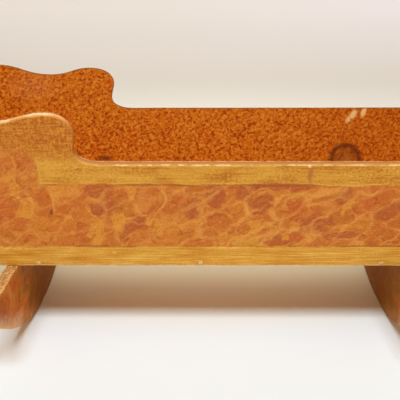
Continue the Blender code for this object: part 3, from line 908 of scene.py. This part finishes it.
def edgeRubbed(name, seed, rim="rim", spots=()):
    # Spots are the stretches where the outer arris is rubbed bright: along and half length
    desk = PaintDesk(name)
    up, depth, tones = desk.up, desk.depth, edgePaint
    fine = desk.cloud((5, 2, 2), seed + 2, 4, 0.6)
    ear = up.ramp(8, 15)
    level = desk.rubbing.ramp(0.15, 0.9)
    lift = desk.math("ADD", 0)
    for x, half in spots:
        lift = lift.most(abs(desk.along - x).ramp(half * 1.5, half * 0.6))
    grit = desk.cloud((2.6, 1.6, 1.6), seed + 7, 3, 0.7).ramp(0.34, 0.6, 0.35, 1)
    earTone = desk.mix(lift * grit, tones["ear"], tones["bright"])
    near = desk.mix(level, tones["steep"], desk.mix(ear, tones[rim], earTone))
    far = desk.mix(ear, tones["far"], tones["earFar"])
    ragged = fine.scaled(5, -2.5)
    colour = near.toward(far, (depth + ragged + ear * -1.4).ramp(3.6, 5.6))
    lip = ragged.scaled(0.9, depth).ramp(3, 1.4) * ear
    colour = colour.toward(tones["lip"], lip * lift.scaled(-0.3, 0.95))
    colour = colour.toward(tones["brown"], fine.ramp(0.44, 0.28, 0, 0.5))
    broken = desk.cloud(9, seed + 3, 3, 0.6).ramp(0.4, 0.58, 0.15, 1) * grit
    farLine = depth.ramp(6, 7) * up.ramp(12, 3, 0.3, 1) * level
    colour = colour.toward(tones["farLine"], farLine * (broken * 0.8))
    dashes = desk.cloud((6, 3, 3), seed + 6, 3, 0.65).ramp(0.42, 0.56, 0.1, 1)
    dashes = dashes.most(lift) * lift.scaled(0.35, 0.6)
    arris = ragged.scaled(0.6, depth).ramp(2.6, 1) * level * dashes * grit * ear.scaled(-0.8, 1)
    colour = colour.toward(desk.mix(lift, tones["cream"], tones["bright"]), arris)
    return desk.finish(colour, fine.ramp(0.3, 0.7, 0.6, 0.78), fine, 0.0003, 0.03)


# Rockers: thick red brown paint with painted shade under the body and on the back arm, scuffed through at the
# tips

# On the rockers the grime tone is mostly painted shade under the body and on the back arm
rockerPaint = shades(dark=(152, 80, 18), ground=(192, 114, 34), red=(190, 90, 20), light=(212, 142, 66),
                     grime=(132, 80, 18), scuff=(230, 178, 132), armTop=(176, 122, 56))
rockerSole = 312


def rockerBrown(name, seed, paintedShade, edge=False):
    # The front arm keeps its colour; under the body and on the back arm the paint is darkened as painted
    # shade, the foot rocker's face more so
    desk = PaintDesk(name)
    along, up, tones = desk.along, desk.up, rockerPaint
    mottle = desk.cloud((25, 23, 30), seed + 1, 2, 0.45)
    fine = desk.cloud((7, 6.5, 6), seed + 2)
    arm = mottle.stops((0.34, tones["dark"]), (0.46, tones["ground"]), (0.55, tones["red"]),
                       (0.68, tones["light"]))
    away = abs(along)
    # Painted shade: the middle and the back arm of each rocker take the dark tone
    unshaded = (along - mottle * 30).ramp(-45, -100, 0.2, 1 - paintedShade)
    colour = desk.mix(unshaded, tones["grime"], arm)
    colour = colour.toward(tones["dark"], fine.ramp(0.48, 0.28, 0, 0.25))
    colour = colour.toward(tones["light"], fine.ramp(0.53, 0.72) * unshaded.ramp(0, 1, 0.15, 0.35))
    above = up - along * along / (rockerSole * 2) - fine * 14
    blush = above.ramp(34, 22) * above.ramp(2, 12, 0, 0.42)
    colour = colour.toward(tones["red"], blush * away.ramp(70, 110))
    colour = colour.toward(tones["scuff"], above.ramp(18, -4, 0, 0.85) * away.ramp(84, 118, 0.1, 1))
    if edge:
        fleck = desk.cloud((2.8, 2.6, 2.6), seed + 5, 3, 0.65)
        flecked = desk.mix(fleck.ramp(0.48, 0.64, 0, 0.7), tones["armTop"], edgePaint["bright"])
        colour = colour.toward(flecked, up.ramp(70, 80))
    worn = (desk.gap / away.ramp(120, 150, 0.4, 1.5)).ramp(1.15, 0.55, 0, 0.7) * away.ramp(100, 140, 0.1, 1)
    colour = colour.toward(edgePaint["cream"], worn * fine.ramp(0.4, 0.6, 0.3, 1))
    return desk.finish(colour, mottle.ramp(0.3, 0.7, 0.44, 0.6), fine - worn * 0.3, 0.0001, 0.05)


# Bare pine under the floor board

pine = shades(early=(212, 140, 54), late=(168, 94, 32), grime=(124, 72, 26))


def barePine(name, seed):
    desk = PaintDesk(name)
    fold = desk.math("PINGPONG", desk.cloud((160, 7, 40), seed + 1, 3, 0.55, 0.4) * 9, 0.5)
    colour = desk.mix(fold.ramp(0.28, 0.48, 0, 0.85), pine["early"], pine["late"])
    pore = desk.cloud((20, 0.8, 4), seed + 2, 3, 0.6)
    colour = colour.toward(pine["late"], pore.ramp(0.45, 0.25, 0, 0.5))
    stain = desk.cloud((60, 40, 40), seed + 3, 4, 0.6)
    colour = colour.toward(pine["grime"], stain.ramp(0.5, 0.75, 0, 0.7))
    colour = colour.toward(pine["grime"], desk.gap.ramp(6, 0, 0, 0.4))
    return desk.finish(colour, pore.ramp(0.3, 0.7, 0.62, 0.78), pore, 0.0004, 0.12)


def plainEnds(piece):
    # A side board's ends at height zero, and how far they run out per height, in millimetres
    along, up, _ = readAll(piece.data.attributes["place"].data, "vector", 3).T
    top, low, within = -4, -100, 3
    rim, foot = along[np.abs(up - top) < within], along[np.abs(up - low) < within]
    lean = float(rim.max() - foot.max()) / (top - low)
    return float(rim.min()) + top * lean, float(rim.max()) - top * lean, lean


puttyDab = dabGroup()
sideEnds = plainEnds(boards["sideBoardFront"])
endDabs = scatterDabs(-285, -212, 5) + scatterDabs(212, 262, 6)
backKnot = (
    (-228, 28, 44, 26, 0, shade(206, 142, 84), 0.16, 0),
    (174, -66, 20, 20, 0, innerPaint["deep"], 0.5, 0.3),
    (174, -66, 17.5, 17.5, 0, innerPaint["deep"], 0.85, -0.36),
    (176, -70, 9, 11, 0, shade(176, 98, 34), 0.6, 0.3),
    (184, -9, 4.4, 8, -34, innerPaint["bare"], 0.75, 0.4),
    (177, -16, 3.2, 6, -24, innerPaint["bare"], 0.65, 0.3),
    (197, -6, 3.6, 8, -24, innerPaint["bare"], 0.75, 0.4),
    (-135, -65, 14, 4.4, 0, shade(110, 42, 6), 0.85, 0.2),
)
rimSpots = ((83, 11), (11, 7), (-6, 5), (-15, 4), (-28, 3), (-42, 4), (-57, 2), (-66, 2), (-84, 6), (109, 4),
            (136, 7), (172, 6), (-154, 11), (-186, 5), (-205, 6))
finishes = {
    "sideBoardFront": (outerGrain("grainFront", frontDabs + endDabs, 2, sideEnds, frontMarks),
                       innerSquiggle("squiggleFront", 8, edgeTone="bare"),
                       edgeRubbed("edgeFront", 4, spots=rimSpots), "paint_ochre"),
    "sideBoardBack": (outerGrain("grainBack", scatterDabs(-285, 262, 9), 33, sideEnds),
                      innerSquiggle("squiggleBack", 15, backKnot),
                      edgeRubbed("edgeBack", 14, "brown"), "paint_ochre"),
    "headBoard": (innerSquiggle("squiggleEndOuter", 51, edgeTone="bare"),
                  innerSquiggle("squiggleEndInner", 57), edgeRubbed("edgeEnds", 59), "paint_rust"),
    "bottomBoard": (innerSquiggle("squiggleFloor", 71, edgeTone="bare"), barePine("pineUnder", 73),
                    barePine("pineFloorEdge", 77), "wood_bare"),
}
finishes["footBoard"] = finishes["headBoard"]
# The foot rocker's face gets more painted shade than the head rocker's
for name, paintedShade in (("rockerHead", 0), ("rockerFoot", 0.6)):
    face = rockerBrown(name + "Face", 83, paintedShade)
    finishes[name] = (face, face, rockerBrown(name + "Edge", 87, paintedShade, True), "paint_brown")
for name, (*materials, slot) in finishes.items():
    for index, material in enumerate(materials):
        boards[name].data.materials[index] = material
print("paint:", len(bpy.data.materials), "materials")


# Cut nails by Geometry Nodes: a hammered head and a tapered shank on every point

cutNail = {"top": 0.00005, "headThick": 0.0011, "length": 0.0268, "hammering": 0.00016, "sides": 5,
           "levels": 13, "headPart": 0.25, "roughStep": 0.0009, "roughScale": 1100,
           "sharpFrom": math.radians(35),
           "taper": ((0, 0.84), (0.085, 1), (0.167, 0.97), (0.25, 0.55), (1, 0.27)),
           "depths": ((0, 0), (0.085, 0.3), (0.167, 1), (0.25, 1), (1, 1))}
paleNails = ("nail_front_floor",)


def nailSpots():
    # One point for each frame nail, in the middle of its head, with its own directions beside it
    spots = []
    for node in sorted(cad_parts):
        if not node.startswith("nail_"):
            continue
        drive = nailDrive(node)
        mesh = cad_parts[node].data
        faces = [polygon for polygon in mesh.polygons if polygon.normal.dot(drive) < -0.8]
        out = Vector(min(faces, key=lambda polygon: polygon.center.dot(drive)).normal)
        level = max(vert.co.dot(out) for vert in mesh.vertices)
        top = []
        for vert in mesh.vertices:
            if vert.co.dot(out) > level - 1e-5 and all((vert.co - corner).length > 1e-4 for corner in top):
                top.append(Vector(vert.co))
        first, *others = top
        others.sort(key=lambda corner: (corner - first).length)
        spots.append({"place": (first + others[-1]) / 2, "acrossHalf": (others[1] - first) / 2,
                      "upHalf": (others[0] - first) / 2, "driveWay": drive,
                      "headTone": float(node.startswith(paleNails))})
    return spots


def nailTree():
    # Nodes that turn each point into one nail: a cube's rings become a hammered head and a tapered shank
    tree = bpy.data.node_groups.new("cut nails", "GeometryNodeTree")
    addSockets(tree, "INPUT", Geometry="Geometry", Length="Float", Head_thickness="Float", Hammering="Float",
               Seed="Int", Iron="Material")
    addSockets(tree, "OUTPUT", Geometry="Geometry")
    desk = PaintDesk("cut nails", tree)
    given = desk.given()

    def stored(geometry, word):
        sockets = {"Geometry": geometry, "Name": word, "Value": desk.wire("GeometryNodeInputPosition")}
        return desk.wire("GeometryNodeStoreNamedAttribute", sockets, data_type="FLOAT_VECTOR", domain="POINT")

    def named(word):
        return desk.wire("GeometryNodeInputNamedAttribute", {"Name": word}, data_type="FLOAT_VECTOR")

    def curve(places):
        made = desk.node("ShaderNodeFloatCurve", {"Value": level})
        line = made.mapping.curves[0]
        while len(line.points) < len(places):
            line.points.new(0.5, 0.5)
        for point, place in zip(line.points, places):
            point.location = place
            point.handle_type = "VECTOR"
        made.mapping.update()
        return Wire(desk, made.outputs[0])

    sides, levels = cutNail["sides"], cutNail["levels"]
    cube = desk.wire("GeometryNodeMeshCube", {"Size": (2, 2, 1), "Vertices X": sides, "Vertices Y": sides,
                                              "Vertices Z": levels})
    spread = desk.wire("GeometryNodeInstanceOnPoints", {
        "Points": stored(given["Geometry"], "nailRoot"), "Instance": stored(cube, "cubePlace")})
    real = desk.wire("GeometryNodeRealizeInstances", {"Geometry": spread})
    root, cubePlace = named("nailRoot"), named("cubePlace")
    x, y, z = desk.wires("ShaderNodeSeparateXYZ", {0: cubePlace})
    level = 0.5 - z

    wide = curve(cutNail["taper"])
    shank = desk.wire("ShaderNodeMapRange", {"Value": level, "From Min": cutNail["headPart"], "From Max": 1})
    shank = shank * (given["Length"] - given["Head thickness"])
    spreadOut = desk.vector("MULTIPLY", cubePlace, (cutNail["roughStep"], cutNail["roughStep"], 0))
    crooked = desk.wire("ShaderNodeTexNoise", {
        "Vector": desk.vector("ADD", root, spreadOut), "Scale": cutNail["roughScale"], "Detail": 1,
        "W": given["Seed"] * 0.37}, noise_dimensions="4D")
    struck = crooked * given["Hammering"] * level.ramp(0.12, 0.02)
    depth = curve(cutNail["depths"]) * given["Head thickness"] + shank + struck
    place = root
    for word, share in (("acrossHalf", x * wide), ("upHalf", y * wide), ("driveWay", depth)):
        step = desk.wire("ShaderNodeVectorMath", {0: named(word), "Scale": share}, operation="SCALE")
        place = desk.vector("ADD", place, step)
    shaped = desk.wire("GeometryNodeSetPosition", {"Geometry": real, "Position": place})
    coated = desk.wire("GeometryNodeSetMaterial", {"Geometry": shaped, "Material": given["Iron"]})
    desk.node("NodeGroupOutput", {"Geometry": coated})
    return tree


ironTone = shades(rust=(96, 56, 34), dark=(58, 42, 34), worn=(128, 104, 84), pale=(252, 212, 134),
                  paint=(222, 158, 66))


def nailIron():
    # Pale nails have rubbed paint on their heads, the others rust
    desk = PaintDesk("nailIron")
    where = desk.wire("ShaderNodeTexCoord", None, "Object")
    fine = desk.cloud(0.0009, 3, 3, 0.6, place=where)
    broad = desk.cloud(0.004, 5, place=where)
    iron = fine.stops((0.34, ironTone["dark"]), (0.52, ironTone["rust"]), (0.72, ironTone["worn"]))
    iron = iron.toward(ironTone["paint"], broad.ramp(0.42, 0.58, 0, 0.7))
    rubbed = desk.mix(fine.ramp(0.35, 0.6), ironTone["paint"], ironTone["pale"])
    colour = iron.toward(rubbed, desk.layer("headTone"))
    return desk.finish(colour, fine.ramp(0.3, 0.7, 0.45, 0.7), fine, 0.00006, 0.08)


def driveNails():
    spots = nailSpots()
    mesh = bpy.data.meshes.new("nailPoints")
    mesh.from_pydata([spot["place"] - spot["driveWay"] * cutNail["top"] for spot in spots], [], [])
    for word in ("acrossHalf", "upHalf", "driveWay", "headTone"):
        kind = "FLOAT" if word == "headTone" else "FLOAT_VECTOR"
        addLayer(mesh, word, kind, [spot[word] for spot in spots])
    piece = linked("cutNails", mesh)
    maker = piece.modifiers.new("cutNails", "NODES")
    maker.node_group = nailTree()
    iron = nailIron()
    wanted = {"Length": cutNail["length"], "Head thickness": cutNail["headThick"],
              "Hammering": cutNail["hammering"], "Seed": 4, "Iron": iron}
    for item in maker.node_group.interface.items_tree:
        if item.in_out == "INPUT" and item.name in wanted:
            maker[item.identifier] = wanted[item.name]
    bakeMesh(piece)
    made = piece.data
    made.materials.clear()
    made.materials.append(iron)
    made.polygons.foreach_set("material_index", [0] * len(made.polygons))
    made.shade_smooth()
    made.set_sharp_from_angle(angle=cutNail["sharpFrom"])
    turnOut(made)
    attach(piece, "root")
    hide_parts(*sorted(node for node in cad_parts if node.startswith("nail_")))
    print("nails:", len(spots), "with", len(made.polygons), "faces")


driveNails()


# Floor, backdrop and light

stageLook = {"half": 4, "front": -2.5, "wallAt": 1.9, "wallRound": 0.9, "wallHigh": 3, "floor": -0.0002,
             "roundSteps": 24,
             "glowAcross": (-0.1, 0.7), "glowBack": (1.35, 1.75),
             "glowLeft": (0.118, 0.106, 0.14, 1), "glowRight": (0.172, 0.165, 0.265, 1)}
# Paper tones from front to back, with painted shade: darker at the front and on the sweep's curve where the
# key lamp lights it most, darker and warmer under the cradle where its shadow falls
paperAndPaintedShade = ((-0.22, (238, 240, 239)), (-0.1, (246, 248, 247)), (-0.065, (248, 247, 241)),
          (-0.035, (249, 246, 233)), (0, (246, 244, 236)), (0.025, (242, 238, 226)),
          (0.09, (245, 248, 250)), (0.9, (246, 248, 247)), (1.3, (233, 227, 223)),
          (1.6, (243, 235, 228)), (2, (248, 238, 232)))


def sweepFloor():
    half, wallAt, wallRound, floor = (stageLook[word] for word in ("half", "wallAt", "wallRound", "floor"))
    line = [(stageLook["front"], floor), (wallAt - wallRound, floor)]
    steps = stageLook["roundSteps"]
    for step in range(1, steps + 1):
        turn = math.pi / 2 * step / steps
        line.append((wallAt - wallRound * (1 - math.sin(turn)), wallRound * (1 - math.cos(turn)) + floor))
    line.append((wallAt, stageLook["wallHigh"]))
    count = len(line)
    mesh = bpy.data.meshes.new("paperSweep")
    mesh.from_pydata([(x, y, z) for x in (-half, half) for y, z in line], [],
                     [(i, i + count, i + count + 1, i + 1) for i in range(count - 1)])
    mesh.shade_smooth()
    desk = PaintDesk("paperWithPaintedShade")
    x, y, _ = desk.wires("ShaderNodeSeparateXYZ", {0: desk.wire("ShaderNodeTexCoord", None, "Object")})

    def share(value, low, high):
        return desk.wire("ShaderNodeMapRange", {"Value": value, "From Min": low, "From Max": high})

    # The ramp lays the painted shade and painted shadow of the tone table onto the paper
    first, last = paperAndPaintedShade[0][0], paperAndPaintedShade[-1][0]
    tones = [((back - first) / (last - first), shade(*tone)) for back, tone in paperAndPaintedShade]
    paper = share(y, first, last).stops(*tones)
    across = share(x, *stageLook["glowAcross"])
    glow = {"Emission Color": desk.mix(across, stageLook["glowLeft"], stageLook["glowRight"]),
            "Emission Strength": share(y, *stageLook["glowBack"])}
    mesh.materials.append(desk.finish(paper, 0.9, 0, 0, 0.1, glow))
    linked("paperSweep", mesh)


def areaLamp(name, place, aim, size, watts, tint):
    lamp = bpy.data.lights.new(name, "AREA")
    lamp.shape = "RECTANGLE"
    lamp.size, lamp.size_y = size
    lamp.energy = watts
    lamp.color = tint
    holder = linked(name, lamp)
    holder.location = place
    holder.rotation_euler = (Vector(aim) - Vector(place)).to_track_quat("-Z", "Y").to_euler()


lampSet = {
    "key": ((0, -1.56, 2.22), (0, 0, 0.05), (1.3, 0.62), 57, (0.885, 1.075, 1.235)),
    "rear": ((0, 0.62, 0.8), (0, 0.05, 0), (0.7, 0.7), 3.3, (1, 0.88, 0.45)),
}
worldLook = {"level": 0.44, "tint": shade(255, 226, 174)}

sweepFloor()
for name, settings in lampSet.items():
    areaLamp(name, *settings)
world = bpy.data.worlds.new("paleRoom")
bpy.context.scene.world = world
world.use_nodes = True
sky = world.node_tree.nodes["Background"].inputs
sky["Color"].default_value = worldLook["tint"]
sky["Strength"].default_value = worldLook["level"]
print("stage: paper sweep and", len(lampSet), "lamps")


# Camera solved from the photograph's straight edges

cameraSet = {"place": (-0.003867, -0.762946, 0.381706), "focal": 699.9, "frameWide": 400, "sensor": 36,
             "pitch": 0.325567, "yaw": 0.0102893, "roll": -0.003352}


def placeCamera():
    data = bpy.data.cameras.new("photoView")
    data.sensor_width = cameraSet["sensor"]
    data.lens = cameraSet["focal"] / cameraSet["frameWide"] * cameraSet["sensor"]
    data.clip_start = 0.01
    yaw, pitch, roll = cameraSet["yaw"], cameraSet["pitch"], cameraSet["roll"]
    right = Vector((math.cos(yaw), math.sin(yaw), 0))
    ahead = Vector((-math.sin(yaw), math.cos(yaw), 0)) * math.cos(pitch) - Vector((0, 0, math.sin(pitch)))
    above = right.cross(ahead)
    rolledRight = right * math.cos(roll) + above * math.sin(roll)
    rolledAbove = above * math.cos(roll) - right * math.sin(roll)
    holder = linked("photoView", data)
    holder.matrix_world = Matrix([*zip(rolledRight, rolledAbove, -ahead, cameraSet["place"]), (0, 0, 0, 1)])
    bpy.context.scene.camera = holder


placeCamera()
bpy.context.scene.view_settings.view_transform = "Standard"
print("camera:", cameraSet["focal"], "pixels focal length")
